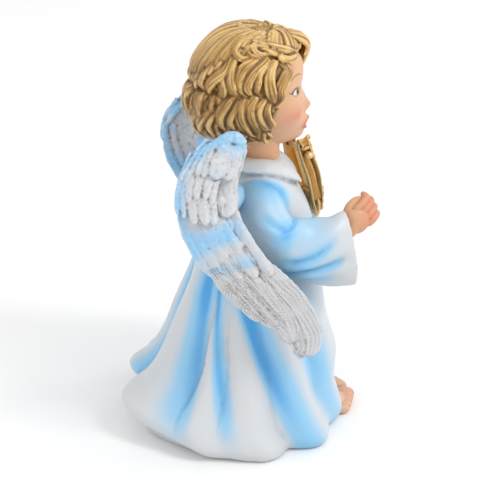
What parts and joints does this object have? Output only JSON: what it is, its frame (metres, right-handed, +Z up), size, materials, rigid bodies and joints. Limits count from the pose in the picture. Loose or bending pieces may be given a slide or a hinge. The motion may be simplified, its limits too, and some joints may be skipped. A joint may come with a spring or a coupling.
{
  "type": "painted resin child angel figurine",
  "caption": "Standing child angel in a long folded robe, with curly hair and swept wings, one hand raised and the other holding a small lyre.",
  "frame": {"origin": "on the flat underside, on the vertical axis of the body", "axes": "+Z up along the height; the angel faces -Y, its right hand is on the -X side"},
  "size_m": [0.1829, 0.1825, 0.3006],
  "materials": {
    "robe_paint": "satin airbrushed paint on cast resin",
    "right_wing_paint": "satin airbrushed paint on cast resin",
    "left_wing_paint": "satin airbrushed paint on cast resin",
    "gold_paint": "metallic gold paint on cast resin",
    "hair_paint": "golden brown paint with a dark wash on cast resin",
    "skin_paint": "satin flesh paint on cast resin"
  },
  "bodies": {
    "root": {"figure": "robe_paint", "right_wing": "right_wing_paint", "left_wing": "left_wing_paint", "lyre": "gold_paint"}
  },
  "joints": []
}
